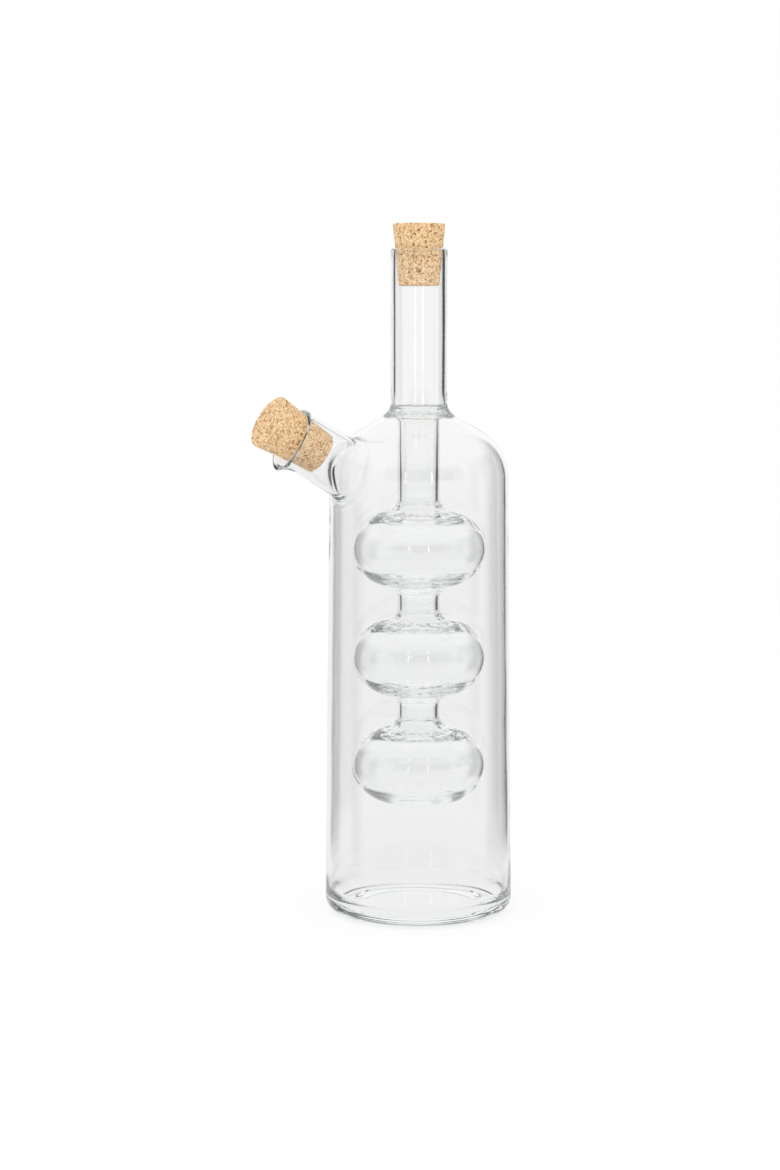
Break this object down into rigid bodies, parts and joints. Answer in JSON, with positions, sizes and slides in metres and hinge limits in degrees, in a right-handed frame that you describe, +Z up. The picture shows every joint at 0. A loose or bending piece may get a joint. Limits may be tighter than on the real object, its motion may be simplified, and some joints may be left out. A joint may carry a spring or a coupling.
{
  "type": "oil and vinegar cruet",
  "caption": "Clear glass bottle with a bulbed tube sealed inside it from the neck and a slanted side spout, each mouth closed by a tapered cork.",
  "frame": {"origin": "centre of the foot ring, on the surface the bottle stands on", "axes": "+Z up the bottle's axis; the spout leans out and up towards -X"},
  "size_m": [0.1075, 0.0736, 0.2691],
  "materials": {
    "glass": "clear, fire-polished",
    "cork": "bare agglomerated cork"
  },
  "bodies": {
    "vessel": {"glass_vessel": "glass"},
    "neck_stopper": {"neck_cork": "cork"},
    "spout_stopper": {"spout_cork": "cork"}
  },
  "joints": [
    {"name": "neck_cork_pull", "type": "slide", "parent": "vessel", "child": "neck_stopper", "axis": [0, 0, 1], "range_m": [0, 0.03]},
    {"name": "spout_cork_pull", "type": "slide", "parent": "vessel", "child": "spout_stopper", "axis": [-0.866, 0, 0.5], "range_m": [0, 0.03]}
  ]
}
